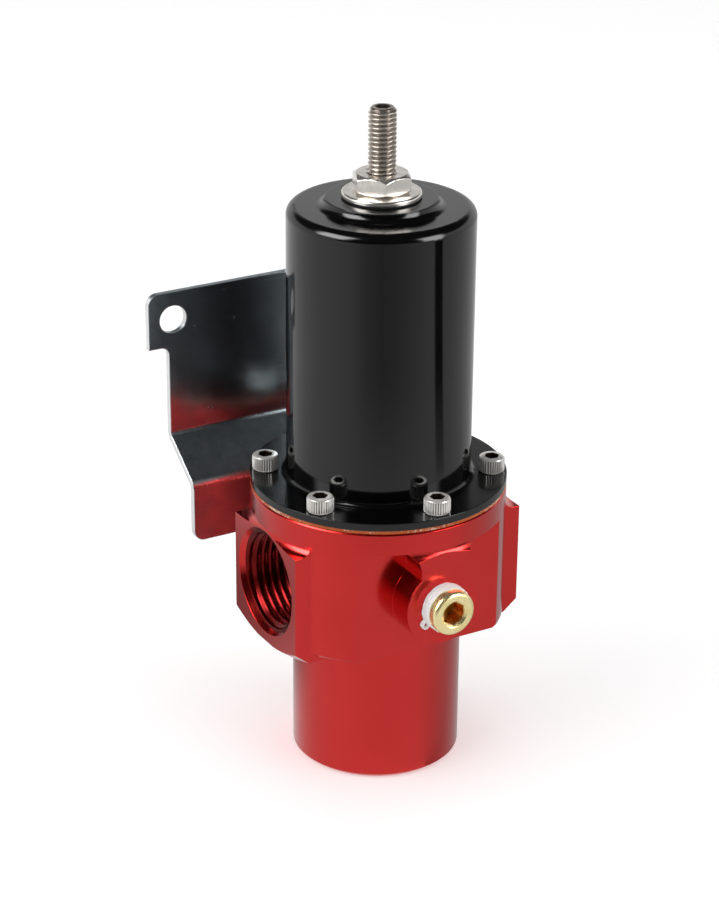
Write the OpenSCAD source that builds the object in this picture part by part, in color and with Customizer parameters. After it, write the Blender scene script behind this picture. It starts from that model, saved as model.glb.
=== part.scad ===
// Bypass fuel pressure regulator with a billet body, a bonnet, an adjusting screw and a bracket.
// Units are millimetres, +Z is up, and the origin is on the axis at the return port's mouth.

/* [Body] */
// Radius of the foot that holds the return port
foot_r = 19.05; // [17:0.05:22]
// Height of the foot below the drum
foot_h = 34.2; // [30:0.1:45]
// Chamfer round the foot's lower edge
foot_chamfer = 0.8; // [0.3:0.1:1.5]
// Radius of the drum, its ring and the bonnet's flange
drum_r = 28.575; // [27.5:0.025:31]
// Stand of the ports', pad's and bracket block's flat faces beyond the drum
face_stand = 0.1; // [0.05:0.05:0.5]
// Height of the drum up to the diaphragm
drum_h = 31.6; // [29:0.1:35]
// Height of the plain ring above the blocks
ring_h = 5.1; // [4:0.1:7]
// Bevel on the drum's upper edge
drum_bevel = 0.45; // [0.2:0.05:0.8]
// Bevel on the drum's lower edge
drum_foot_bevel = 0.6; // [0.2:0.1:1]
// Radius of the turned cove under the ring
cove_r = 2.3; // [1.5:0.1:2.6]
// Half of the width of the port and bracket blocks
block_half = 14; // [13.2:0.1:15]
// Distance from the port axis down to the port blocks' underside
block_drop = 14.6; // [13.5:0.1:16]
// Height of the turned chamfer on the port blocks' lower corners
block_chamfer = 2.7; // [1.5:0.1:3.5]
// Reach of the turned chamfer inwards from the port blocks' corners
chamfer_reach = 3; // [2:0.1:3.2]
// Chamfer on the bracket block's lower corners
flat_chamfer = 1.3; // [0.5:0.1:2]
// Distance from the port axis down to the bracket block's underside
flat_drop = 9.4; // [8:0.1:10.3]

/* [Ports] */
// Height of the port axes above the drum's lower edge
port_h = 12.8; // [12:0.1:14]
// Outer thread radius of the tapped inlet and return ports
port_r = 11.1; // [10:0.05:11.6]
// Depth of the tapped ports
port_depth = 17; // [14:0.5:19]
// Mouth radius of the ports' seal taper
port_mouth_r = 12.4; // [11.5:0.05:12.9]
// Depth of the ports' seal taper
port_mouth_depth = 2.6; // [1.5:0.1:3.5]
// Radius of the rising passages to the diaphragm chamber
rise_r = 3; // [2:0.1:3.4]
// Radius of the return passage
return_r = 5; // [4:0.1:5.4]
// Distance from the rising passages to the chamber's wall
passage_edge = 0.6; // [0.3:0.1:1]

/* [Gauge port] */
// Wall radius of the gauge port
gauge_r = 5.1; // [4.5:0.05:5.4]
// Depth of the gauge port
gauge_depth = 12; // [9:0.5:13]
// Radius of the gauge passage to the diaphragm chamber
gauge_rise_r = 1.5; // [1:0.1:2]
// Radius of the round pad about the gauge port
pad_r = 9.1; // [8.5:0.1:10]
// Stand of the pad in front of the milled flat
pad_stand = 6.475; // [5:0.025:7]
// Half of the width of the pad's neck at its waist
neck_half = 5.6; // [5:0.1:6.5]
// Radius of the cutter's corners beside the neck
neck_cut_r = 6; // [5:0.1:6.4]
// Height of those corners' middles above the port axis
neck_cut_h = 8.5; // [8:0.1:9.5]
// Stand of the plug's end in front of the pad
plug_stand = 4.8; // [3:0.1:6]
// Length of the plug
plug_len = 11; // [9:0.1:13]
// Hex socket of the plug across flats
plug_hex = 4.76; // [4:0.02:5.6]
// Depth of the plug's socket
plug_hex_depth = 4.6; // [3:0.1:6]
// Thickness of the thread tape
tape_t = 0.35; // [0.2:0.05:0.6]
// Width of the tape that shows in front of the pad
tape_w = 3.2; // [0.6:0.1:4]

/* [Valve] */
// Step of the diaphragm chamber's wall inside the bonnet's wall
chamber_step = 3; // [2.3:0.1:4]
// Depth of the chamber below the diaphragm
chamber_depth = 4.4; // [4:0.1:5.5]
// Outside radius of the valve seat
seat_r = 6.8; // [6.2:0.05:7.4]
// Length of the valve seat
seat_len = 7.4; // [6.5:0.1:9]
// Height of the seat's lip above the chamber floor
seat_lip = 1; // [0.6:0.1:1.2]
// Bore radius of the seat
seat_bore_r = 4; // [3:0.1:4.4]
// Radius of the seal ring's cord
seal_cord_r = 0.8; // [0.6:0.05:0.9]
// Radius of the valve's disc
valve_r = 5.8; // [5:0.1:6.4]
// Thickness of the valve's disc
valve_t = 1.5; // [1:0.1:1.7]
// Radius of the valve's stud
stud_r = 2.4; // [2:0.1:2.8]
// Clear gap between the valve and its seat as modelled
valve_gap = 0.05; // [0.02:0.01:0.1]
// Width of the free diaphragm round its two plates
plate_edge = 3.5; // [2.5:0.1:5]
// Thickness of the upper diaphragm plate
plate_t = 1.8; // [1.2:0.1:2.4]
// Thickness of the diaphragm
diaphragm_t = 0.7; // [0.5:0.05:1]
// Step of the diaphragm's edge inside the flange
diaphragm_step = 0.08; // [0.02:0.02:0.3]
// Nut on the valve's stud, across flats
stack_nut_af = 8; // [7:0.1:9.5]
// Height of the nut on the valve's stud
stack_nut_h = 3.2; // [2.4:0.1:4]

/* [Bonnet] */
// Room between the cap screws' heads and the bonnet's wall
head_room = 1.675; // [1.2:0.025:2.2]
// Height of the bonnet from the diaphragm to its top face
bonnet_h = 63.5; // [58:0.5:70]
// Thickness of the bonnet's flange
flange_t = 1.7; // [1.4:0.1:3]
// Fillet between the flange and the bonnet's wall
flange_fillet = 1.1; // [0.5:0.1:1.4]
// Rounding of the bonnet's upper rim
rim_r = 2; // [1:0.1:3]
// Thickness of the bonnet's wall round the spring
bonnet_wall = 6.5; // [5.7:0.1:7.3]
// Height of the wide chamber above the diaphragm
bonnet_chamber_h = 6.5; // [6:0.1:8]
// Thickness of the bonnet's crown
crown_t = 9; // [7:0.1:11]
// Upper radius of the crown's raised boss
boss_r = 12.1; // [11.5:0.1:12.6]
// Height of the crown's raised boss and radius of its cove
boss_h = 1.9; // [1.2:0.1:2.6]
// Wall radius of the tapped reference port
reference_r = 4.35; // [3.8:0.05:4.6]
// Height of the reference port above the diaphragm
reference_h = 30; // [24:0.5:38]

/* [Spring] */
// Step of the spring's mean radius inside the spring cap's edge
spring_step = 3; // [2.2:0.1:3.6]
// Radius of the spring's wire
wire_r = 1.15; // [0.9:0.05:1.3]
// Number of working coils
spring_coils = 8; // [6:1:10]
// Length of the spring as set
spring_len = 44.6; // [40:0.1:46]
// Room between the spring cap's edge and its bore
cap_edge = 1.4; // [1:0.1:2]
// Thickness of the spring cap's disc
cap_t = 5; // [4:0.1:6]
// Length of the spring cap's spigot inside the spring
cap_spigot = 3; // [2:0.1:5]

/* [Adjuster] */
// Radius of the adjusting screw
screw_r = 3.1; // [2.8:0.05:3.4]
// Length of screw above the jam nut
screw_stand = 14.3; // [12:0.1:18]
// Hex socket in the screw's upper end, across flats
screw_hex = 3.18; // [2.5:0.02:3.4]
// Jam nut across flats
nut_af = 11.6; // [10.5:0.1:13]
// Height of the jam nut
nut_h = 4.1; // [3:0.1:5.5]
// Turn of the jam nut's corners
nut_turn = 8.6; // [0:0.1:60]
// Radius of the seal washer
washer_r = 8.65; // [8:0.05:8.75]
// Thickness of the seal washer's steel
washer_t = 1; // [0.7:0.1:1.4]
// Thickness of the seal washer's rubber face
washer_seal_t = 0.4; // [0.3:0.1:0.9]
// Bore radius of the seal washer's steel
washer_bore_r = 3.5; // [3.45:0.05:4]

/* [Fasteners] */
// Number of cap screws
cap_screw_count = 6; // [4:1:8]
// Distance from the cap screws' circle to the flange's edge
cap_screw_edge = 3.45; // [3.2:0.05:3.7]
// Radius of the cap screws' heads
cap_head_r = 2.95; // [2.7:0.05:3.1]
// Height of the cap screws' heads
cap_head_h = 3.5; // [3:0.1:4]
// Radius of the cap screws' shanks
cap_shank_r = 1.7; // [1.4:0.05:1.8]
// Length of the cap screws' shanks
cap_shank_len = 12; // [9:0.1:13]
// Hex socket of the cap screws, across flats
cap_hex = 2.8; // [2.4:0.05:3]

/* [Bracket] */
// Thickness of the bracket's sheet
sheet_t = 1.5; // [1:0.1:2]
// Inside radius of the bracket's bends
bend_r = 1.5; // [1:0.1:2.5]
// Angle of each bend
bend_angle = 54; // [40:1:65]
// Distance that the upper plate stands behind the block's face
bracket_offset = 11.4; // [8:0.1:16]
// Half of the bracket's width
bracket_half = 31.7; // [28:0.1:36]
// Height of the bracket's lower plate
bracket_low_h = 12.7; // [11:0.1:15]
// Distance from the port axis down to the bracket's lower edge
bracket_drop = 1.7; // [0:0.1:4]
// Height of the bracket from its lower edge to its upper edge
bracket_h = 57; // [50:0.1:64]
// Height of the bracket's ears
ear_h = 13; // [11:0.1:16]
// Stand of each ear beyond the bracket's side
ear_side = 4.9; // [3:0.1:7]
// Rounding of the bracket's corners
bracket_corner = 2.6; // [1:0.1:4]
// Fillet under each ear
ear_fillet = 2; // [1:0.1:3]
// Radius of the bracket's mounting holes
bracket_hole_r = 3.3; // [2.6:0.05:3.6]
// Distance from each ear's end to its mounting hole
bracket_hole_edge = 6.1; // [5:0.1:8]
// Spacing of the screws that hold the bracket
bracket_screw_span = 18; // [14:0.5:22]
// Radius of the bracket screws' heads
bracket_head_r = 4.4; // [3.6:0.1:4.8]
// Height of the bracket screws' heads
bracket_head_h = 2.6; // [2:0.1:3.4]
// Radius of the bracket screws' shanks
bracket_shank_r = 2.4; // [2:0.05:2.6]
// Thread depth of the bracket screws in the body
bracket_screw_depth = 7; // [5:0.1:8]
// Hex socket of the bracket screws, across flats
bracket_hex = 3; // [2.5:0.1:3.4]
// Thickness of the bracket screws' washers
lock_washer_t = 1; // [0.6:0.1:1.4]

/* [Fits] */
// Radial clearance of a thread or a shaft in its hole
fit_gap = 0.05; // [0.03:0.01:0.08]
// Radial clearance of a screw in a drilled hole
drill_gap = 0.3; // [0.2:0.05:0.4]
// Clear gap between pieces that turn or slide past each other
slide_gap = 0.05; // [0.03:0.01:0.1]

/* [Hidden] */
$fn = 64;
// Overlap that lets a cut pass cleanly through a face
cut = 1;
joint_z = foot_h + drum_h;
ring_z = joint_z - ring_h;
port_z = foot_h + port_h;
face_r = drum_r + face_stand;
pad_y = face_r;
flat_y = face_r - pad_stand;
neck_cut_x = neck_half + neck_cut_r - face_stand;
bolt_circle = drum_r - cap_screw_edge;
bonnet_r = bolt_circle - cap_head_r - head_room;
bonnet_bore_r = bonnet_r - bonnet_wall;
chamber_r = bonnet_r - chamber_step;
plate_r = chamber_r - plate_edge;
cap_r = bonnet_bore_r - cap_edge;
spring_r = cap_r - spring_step;
passage_r = chamber_r - passage_edge;
chamber_z = joint_z - chamber_depth;
seat_top = chamber_z + seat_lip;
valve_z = seat_top + valve_gap;
plate_low_z = valve_z + valve_t;
bonnet_z = joint_z + diaphragm_t;
flange_z = bonnet_z + flange_t;
plate_up_z = bonnet_z + plate_t;
crown_z = bonnet_z + bonnet_h;
boss_z = crown_z + boss_h;
ceiling_z = boss_z - crown_t;
washer_z = boss_z + washer_seal_t;
nut_z = washer_z + washer_t;
screw_top = nut_z + nut_h + screw_stand;
cap_z = plate_up_z + spring_len;
tip_z = cap_z + cap_t / 2;
block_corner = sqrt(face_r * face_r + block_half * block_half);
bracket_y = face_r;
bracket_z = port_z - bracket_drop;
bend_outer = bend_r + sheet_t;
bend_reach = (bend_r + bend_outer) * (1 - cos(bend_angle));
slant_len = (bracket_offset - bend_reach) / sin(bend_angle);
upper_y = bracket_y + bracket_offset;
bracket_hole_span = 2 * (bracket_half + ear_side - bracket_hole_edge);
ear_z = bracket_z + bracket_h - ear_h;
bracket_screw_z = bracket_z + bracket_low_h / 2;

// Copies at the cap screws' places, the first one over the gauge port
module at_cap_screws() {
    for (k = [0 : cap_screw_count - 1])
        rotate([0, 0, k * 360 / cap_screw_count - 90])
            translate([bolt_circle, 0, 0])
                children();
}

// Copies at the two bracket screws, with their axes pointing away from the body
module at_bracket_screws() {
    for (side = [-1, 1])
        translate([side * bracket_screw_span / 2, bracket_y, bracket_screw_z])
            rotate([-90, 0, 0])
                children();
}

// Hexagonal prism by its size across flats
module hex(af, h) {
    cylinder(r = af / sqrt(3), h = h, $fn = 6);
}

// Tapped port with its seal taper, drilled from the origin along +Z
module port_cut() {
    slope = (port_mouth_r - port_r) / port_mouth_depth;
    translate([0, 0, -cut]) {
        cylinder(r = port_r, h = port_depth + cut);
        cylinder(r1 = port_mouth_r + slope * cut, r2 = port_r, h = port_mouth_depth + cut);
    }
}

// Turned outside of a pair of blocks: cove under the ring and chamfered lower corners
module block_envelope(low_z, run, rise) {
    reach = block_corner + cove_r;
    cove_at = drum_r + cove_r - face_stand;
    rotate_extrude()
        difference() {
            polygon([[0, low_z], [block_corner - run, low_z], [reach, low_z + rise * (run + cove_r) / run],
                     [reach, ring_z + face_stand], [0, ring_z + face_stand]]);
            translate([cove_at, ring_z])
                circle(r = cove_r);
            translate([cove_at, ring_z - cove_r])
                square([2 * reach, 2 * cove_r]);
        }
}

// Foot, drum and ring, turned in one
module turned_body() {
    rotate_extrude()
        polygon([[0, 0], [foot_r - foot_chamfer, 0], [foot_r, foot_chamfer], [foot_r, foot_h],
                 [drum_r - drum_foot_bevel, foot_h], [drum_r, foot_h + drum_foot_bevel],
                 [drum_r, joint_z - drum_bevel], [drum_r - drum_bevel, joint_z], [0, joint_z]]);
}

// Outline of the gauge port's pad and its neck, seen along the port, with the port axis at the origin
module pad_outline() {
    circle(r = pad_r);
    translate([-neck_half, 0])
        square([2 * neck_half, neck_cut_h + neck_cut_r / 2]);
    difference() {
        translate([-neck_cut_x, neck_cut_h])
            square([2 * neck_cut_x, joint_z - port_z - neck_cut_h]);
        for (side = [-1, 1])
            translate([side * neck_cut_x, neck_cut_h])
                circle(r = neck_cut_r);
    }
}

// Milled body with its ports, passages and chamber
module body() {
    color("firebrick")
    difference() {
        union() {
            difference() {
                turned_body();
                translate([-drum_r - cut, -drum_r - cut, foot_h - cut])
                    cube([2 * (drum_r + cut), drum_r + cut - flat_y, ring_z - foot_h + cut]);
            }
            intersection() {
                block_envelope(port_z - block_drop, chamfer_reach, block_chamfer);
                translate([-face_r, -block_half, 0])
                    cube([2 * face_r, 2 * block_half, joint_z]);
            }
            intersection() {
                block_envelope(port_z - flat_drop, flat_chamfer, flat_chamfer);
                translate([-block_half, 0, 0])
                    cube([2 * block_half, face_r, joint_z]);
            }
            intersection() {
                block_envelope(foot_h + cut, flat_chamfer, flat_chamfer);
                translate([0, 0, port_z])
                    rotate([90, 0, 0])
                        linear_extrude(pad_y)
                            pad_outline();
            }
        }
        for (side = [-1, 1])
            translate([side * face_r, 0, port_z])
                rotate([0, -side * 90, 0])
                    port_cut();
        port_cut();
        cylinder(r = return_r, h = joint_z);
        for (side = [-1, 1])
            translate([side * (passage_r - rise_r), 0, port_z])
                cylinder(r = rise_r, h = joint_z - port_z);
        translate([0, -pad_y - cut, port_z])
            rotate([-90, 0, 0])
                cylinder(r = gauge_r, h = gauge_depth + cut);
        translate([0, gauge_rise_r - passage_r, port_z]) {
            cylinder(r = gauge_rise_r, h = joint_z - port_z);
            rotate([90, 0, 0])
                cylinder(r = gauge_rise_r, h = drum_r - passage_r);
        }
        translate([0, 0, chamber_z])
            cylinder(r = chamber_r, h = chamber_depth + cut);
        translate([0, 0, seat_top - seat_len])
            cylinder(r = seat_r, h = seat_len);
        at_cap_screws()
            translate([0, 0, flange_z - cap_shank_len - cut])
                cylinder(r = cap_shank_r + fit_gap, h = cap_shank_len + cut);
        at_bracket_screws()
            translate([0, 0, -bracket_screw_depth - cut])
                cylinder(r = bracket_shank_r + fit_gap, h = bracket_screw_depth + 2 * cut);
    }
}

// Seat that the valve closes on, pressed in over the return passage
module valve_seat() {
    groove_z = seat_len / 2;
    color("goldenrod")
    translate([0, 0, seat_top - seat_len])
        difference() {
            rotate_extrude()
                polygon([[seat_bore_r, 0], [seat_r - fit_gap, 0], [seat_r - fit_gap, seat_len - seat_lip],
                         [seat_bore_r + 2 * seat_lip, seat_len - seat_lip], [seat_bore_r + seat_lip, seat_len],
                         [seat_bore_r, seat_len]]);
            translate([0, 0, groove_z - seal_cord_r])
                difference() {
                    cylinder(r = seat_r + cut, h = 2 * seal_cord_r);
                    cylinder(r = seat_r - 2 * seal_cord_r - fit_gap, h = 2 * seal_cord_r);
                }
        }
}

// Seal ring in the seat's groove
module seat_seal() {
    color("dimgray")
    translate([0, 0, seat_top - seat_len / 2])
        rotate_extrude()
            translate([seat_r - seal_cord_r - fit_gap / 2, 0])
                circle(r = seal_cord_r - fit_gap / 2);
}

// Valve disc with the stud that carries the diaphragm stack
module valve() {
    color("silver")
    translate([0, 0, valve_z]) {
        cylinder(r = valve_r, h = valve_t);
        cylinder(r = stud_r, h = plate_up_z + stack_nut_h + slide_gap - valve_z);
    }
}

// Plate under the diaphragm
module lower_plate() {
    color("lightgray")
    translate([0, 0, plate_low_z])
        difference() {
            cylinder(r = plate_r, h = joint_z - plate_low_z);
            translate([0, 0, -cut])
                cylinder(r = stud_r + fit_gap, h = joint_z - plate_low_z + 2 * cut);
        }
}

// Reinforced diaphragm clamped between the body and the bonnet
module diaphragm() {
    color("peru")
    translate([0, 0, joint_z])
        difference() {
            cylinder(r = drum_r - diaphragm_step, h = diaphragm_t);
            translate([0, 0, -cut])
                cylinder(r = stud_r + drill_gap, h = diaphragm_t + 2 * cut);
            at_cap_screws()
                translate([0, 0, -cut])
                    cylinder(r = cap_shank_r + drill_gap, h = diaphragm_t + 2 * cut);
        }
}

// Plate above the diaphragm that the spring stands on
module upper_plate() {
    rim_h = plate_t / 2;
    spring_out = spring_r + wire_r + drill_gap;
    color("lightgray")
    translate([0, 0, bonnet_z])
        difference() {
            cylinder(r = plate_r, h = plate_t + rim_h);
            translate([0, 0, plate_t])
                cylinder(r = spring_out, h = rim_h + cut);
            translate([0, 0, -cut])
                cylinder(r = stud_r + fit_gap, h = plate_t + 2 * cut);
        }
}

// Nut that holds the diaphragm stack together
module stack_nut() {
    color("silver")
    translate([0, 0, plate_up_z])
        difference() {
            hex(stack_nut_af, stack_nut_h);
            translate([0, 0, -cut])
                cylinder(r = stud_r + fit_gap, h = stack_nut_h + 2 * cut);
        }
}

// Coil spring with a closed turn at each end
module spring() {
    sides = 8;
    steps = 20;
    turns = spring_coils + 2;
    first = plate_up_z + wire_r;
    rise = spring_len - 2 * wire_r;
    closed = 2 * wire_r + slide_gap;
    pitch = (rise - 2 * closed) / spring_coils;
    function coil_z(t) = t < 1 ? closed * t
        : t < turns - 1 ? closed + pitch * (t - 1)
        : closed + pitch * spring_coils + closed * (t - turns + 1);
    points = [for (i = [0 : turns * steps]) for (j = [0 : sides - 1])
        let (a = 360 * i / steps, b = 360 * j / sides, r = spring_r + wire_r * cos(b))
        [r * cos(a), r * sin(a), first + coil_z(i / steps) + wire_r * sin(b)]];
    walls = [for (i = [0 : turns * steps - 1]) for (j = [0 : sides - 1])
        let (k = (j + 1) % sides)
        [i * sides + j, i * sides + k, (i + 1) * sides + k, (i + 1) * sides + j]];
    ends = [[for (j = [sides - 1 : -1 : 0]) j], [for (j = [0 : sides - 1]) turns * steps * sides + j]];
    color("slategray")
        polyhedron(points = points, faces = concat(walls, ends));
}

// Cap between the spring and the adjusting screw, dished for the screw's tip
module spring_cap() {
    dish_z = tip_z - slide_gap;
    color("silver")
    difference() {
        union() {
            translate([0, 0, cap_z - cap_spigot])
                cylinder(r = spring_r - wire_r - drill_gap, h = cap_spigot + cap_t);
            translate([0, 0, cap_z])
                cylinder(r = cap_r, h = cap_t);
        }
        translate([0, 0, dish_z])
            cylinder(r1 = slide_gap, r2 = screw_r + slide_gap, h = screw_r);
        translate([0, 0, dish_z + screw_r])
            cylinder(r = screw_r + slide_gap, h = cap_t);
    }
}

// Turned outside of the bonnet, from its flange to the crown's boss
module bonnet_turning() {
    rotate_extrude()
        difference() {
            union() {
                translate([0, bonnet_z])
                    square([drum_r, flange_t]);
                translate([0, flange_z])
                    square([bonnet_r + flange_fillet, flange_fillet]);
                translate([0, flange_z])
                    square([bonnet_r, crown_z - rim_r - flange_z]);
                translate([0, crown_z - 2 * rim_r])
                    square([bonnet_r - rim_r, 2 * rim_r]);
                translate([bonnet_r - rim_r, crown_z - rim_r])
                    circle(r = rim_r);
                translate([0, crown_z - rim_r])
                    square([boss_r + boss_h, rim_r + boss_h]);
            }
            translate([boss_r + boss_h, boss_z])
                circle(r = boss_h);
            translate([bonnet_r + flange_fillet, flange_z + flange_fillet])
                circle(r = flange_fillet);
        }
}

// Bonnet with the spring's bore, the screw's tapped hole and the reference port
module bonnet() {
    color("#26262a")
    difference() {
        bonnet_turning();
        translate([0, 0, bonnet_z - cut])
            cylinder(r = chamber_r, h = bonnet_chamber_h + cut);
        translate([0, 0, bonnet_z])
            cylinder(r = bonnet_bore_r, h = ceiling_z - bonnet_z);
        cylinder(r = screw_r + fit_gap, h = boss_z + cut);
        translate([0, 0, bonnet_z + reference_h])
            rotate([0, 90, 0])
                cylinder(r = reference_r, h = bonnet_r + cut);
        at_cap_screws()
            translate([0, 0, bonnet_z - cut])
                cylinder(r = cap_shank_r + drill_gap, h = flange_t + 2 * cut);
    }
}

// Adjusting screw with a pointed tip and a hex socket
module adjusting_screw() {
    chamfer = screw_r / 4;
    color("silver")
    difference() {
        rotate_extrude()
            polygon([[0, tip_z], [screw_r, tip_z + screw_r], [screw_r, screw_top - chamfer],
                     [screw_r - chamfer, screw_top], [0, screw_top]]);
        translate([0, 0, screw_top - screw_r])
            hex(screw_hex, screw_r + cut);
    }
}

// Chamfered jam nut on the adjusting screw
module jam_nut() {
    corner = nut_af / sqrt(3);
    color("silver")
    translate([0, 0, nut_z])
        difference() {
            intersection() {
                rotate([0, 0, nut_turn])
                    hex(nut_af, nut_h);
                union() {
                    cylinder(r1 = nut_af / 2, r2 = corner + nut_h / 2, h = nut_h / 2);
                    translate([0, 0, nut_h / 2])
                        cylinder(r1 = corner + nut_h / 2, r2 = nut_af / 2, h = nut_h / 2);
                }
            }
            translate([0, 0, -cut])
                cylinder(r = screw_r + fit_gap, h = nut_h + 2 * cut);
        }
}

// Steel of the seal washer, with a rounded upper edge
module seal_washer() {
    edge = washer_t / 2;
    color("gainsboro")
    translate([0, 0, washer_z])
        difference() {
            rotate_extrude() {
                square([washer_r, washer_t - edge]);
                square([washer_r - edge, washer_t]);
                translate([washer_r - edge, washer_t - edge])
                    circle(r = edge);
            }
            translate([0, 0, -cut])
                cylinder(r = washer_bore_r, h = washer_t + 2 * cut);
        }
}

// Rubber face bonded under the seal washer
module washer_seal() {
    color("#202020")
    translate([0, 0, boss_z])
        difference() {
            cylinder(r = washer_r - washer_seal_t / 2, h = washer_seal_t);
            translate([0, 0, -cut])
                cylinder(r = screw_r + fit_gap, h = washer_seal_t + 2 * cut);
        }
}

// Socket-head cap screws that clamp the bonnet
module cap_screws() {
    bevel = cap_head_h / 10;
    color("gainsboro")
    at_cap_screws()
        translate([0, 0, flange_z])
            difference() {
                rotate_extrude()
                    polygon([[0, -cap_shank_len], [cap_shank_r, -cap_shank_len], [cap_shank_r, 0],
                             [cap_head_r - bevel, 0], [cap_head_r, bevel], [cap_head_r, cap_head_h - bevel],
                             [cap_head_r - bevel, cap_head_h], [0, cap_head_h]]);
                translate([0, 0, cap_head_h / 2])
                    hex(cap_hex, cap_head_h);
            }
}

// Hex-socket pipe plug in the gauge port
module gauge_plug() {
    bevel = plug_stand / 5;
    plug_r = gauge_r - fit_gap;
    color("khaki")
    translate([0, plug_len - pad_y - plug_stand, port_z])
        rotate([90, 0, 0])
            difference() {
                rotate_extrude()
                    polygon([[0, 0], [plug_r - bevel, 0], [plug_r, bevel], [plug_r, plug_len - bevel],
                             [plug_r - bevel, plug_len], [0, plug_len]]);
                translate([0, 0, plug_len - plug_hex_depth])
                    rotate([0, 0, 30])
                        hex(plug_hex, plug_hex_depth + cut);
            }
}

// Sealing tape wound round the plug's thread where it leaves the pad
module thread_tape() {
    color("white")
    translate([0, -pad_y, port_z])
        rotate([90, 0, 0])
            difference() {
                cylinder(r = gauge_r + tape_t, h = tape_w);
                translate([0, 0, -cut])
                    cylinder(r = gauge_r, h = tape_w + 2 * cut);
            }
}

// Points on an arc from one angle to another
function arc(centre, radius, from, to, steps = 8) =
    [for (k = [0 : steps]) let (a = from + (to - from) * k / steps) centre + radius * [cos(a), sin(a)]];

// Side profile of the bracket: lower plate, slanted web and upper plate, with Y across and Z up
module bracket_profile() {
    low_bend = [bracket_y + bend_outer, bracket_z + bracket_low_h];
    high_bend = low_bend + (bend_r + bend_outer) * [-cos(bend_angle), sin(bend_angle)]
        + slant_len * [sin(bend_angle), cos(bend_angle)];
    top_z = bracket_z + bracket_h;
    polygon(concat(
        [[bracket_y, bracket_z]],
        arc(low_bend, bend_outer, 180, 180 - bend_angle),
        arc(high_bend, bend_r, -bend_angle, 0),
        [[upper_y, top_z], [upper_y + sheet_t, top_z]],
        arc(high_bend, bend_outer, 0, -bend_angle),
        arc(low_bend, bend_r, 180 - bend_angle, 180),
        [[bracket_y + sheet_t, bracket_z]]));
}

// Front outline of the bracket, with X across and Z up
module bracket_outline() {
    ear_half = bracket_half + ear_side;
    for (side = [-1, 1])
        translate([side * (bracket_half - bracket_corner), bracket_z + bracket_corner])
            circle(r = bracket_corner);
    translate([bracket_corner - bracket_half, bracket_z])
        square([2 * (bracket_half - bracket_corner), bracket_h]);
    translate([-bracket_half, bracket_z + bracket_corner])
        square([2 * bracket_half, bracket_h - 2 * bracket_corner]);
    difference() {
        translate([-bracket_half - ear_fillet, ear_z - ear_fillet])
            square([2 * (bracket_half + ear_fillet), 2 * ear_fillet]);
        for (side = [-1, 1])
            translate([side * (bracket_half + ear_fillet), ear_z - ear_fillet])
                circle(r = ear_fillet);
    }
    for (side = [-1, 1])
        translate([side * (ear_half - bracket_corner), ear_z + ear_h - bracket_corner])
            circle(r = bracket_corner);
    translate([bracket_corner - ear_half, ear_z])
        square([2 * (ear_half - bracket_corner), ear_h]);
    translate([-ear_half, ear_z])
        square([2 * ear_half, ear_h - bracket_corner]);
}

// Folded sheet bracket behind the body
module bracket() {
    width = 2 * (bracket_half + ear_side + cut);
    depth = bracket_offset + sheet_t + 2 * cut;
    color("slategray")
    difference() {
        intersection() {
            rotate([90, 0, 90])
                translate([0, 0, -width / 2])
                    linear_extrude(width)
                        bracket_profile();
            translate([0, bracket_y + depth - cut, 0])
                rotate([90, 0, 0])
                    linear_extrude(depth)
                        bracket_outline();
        }
        for (side = [-1, 1])
            translate([side * bracket_hole_span / 2, upper_y - cut, ear_z + ear_h / 2])
                rotate([-90, 0, 0])
                    cylinder(r = bracket_hole_r, h = sheet_t + 2 * cut);
        at_bracket_screws()
            translate([0, 0, -cut])
                cylinder(r = bracket_shank_r + drill_gap, h = sheet_t + 2 * cut);
    }
}

// Button-head screws that hold the bracket
module bracket_screws() {
    head_z = sheet_t + lock_washer_t;
    color("silver")
    at_bracket_screws()
        difference() {
            union() {
                translate([0, 0, -bracket_screw_depth])
                    cylinder(r = bracket_shank_r, h = bracket_screw_depth + head_z);
                translate([0, 0, head_z])
                    cylinder(r1 = bracket_head_r, r2 = bracket_head_r * 0.6, h = bracket_head_h);
            }
            translate([0, 0, head_z + bracket_head_h / 3])
                hex(bracket_hex, bracket_head_h);
        }
}

// Plain washers under the bracket screws
module bracket_washers() {
    color("gainsboro")
    at_bracket_screws()
        translate([0, 0, sheet_t])
            difference() {
                cylinder(r = bracket_head_r + drill_gap, h = lock_washer_t);
                translate([0, 0, -cut])
                    cylinder(r = bracket_shank_r + drill_gap, h = lock_washer_t + 2 * cut);
            }
}

body();
valve_seat();
seat_seal();
valve();
lower_plate();
diaphragm();
upper_plate();
stack_nut();
spring();
spring_cap();
bonnet();
adjusting_screw();
jam_nut();
seal_washer();
washer_seal();
cap_screws();
gauge_plug();
thread_tape();
bracket();
bracket_screws();
bracket_washers();
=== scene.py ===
import bpy
import bmesh
import math
from mathutils import Matrix, Vector, noise


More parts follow.
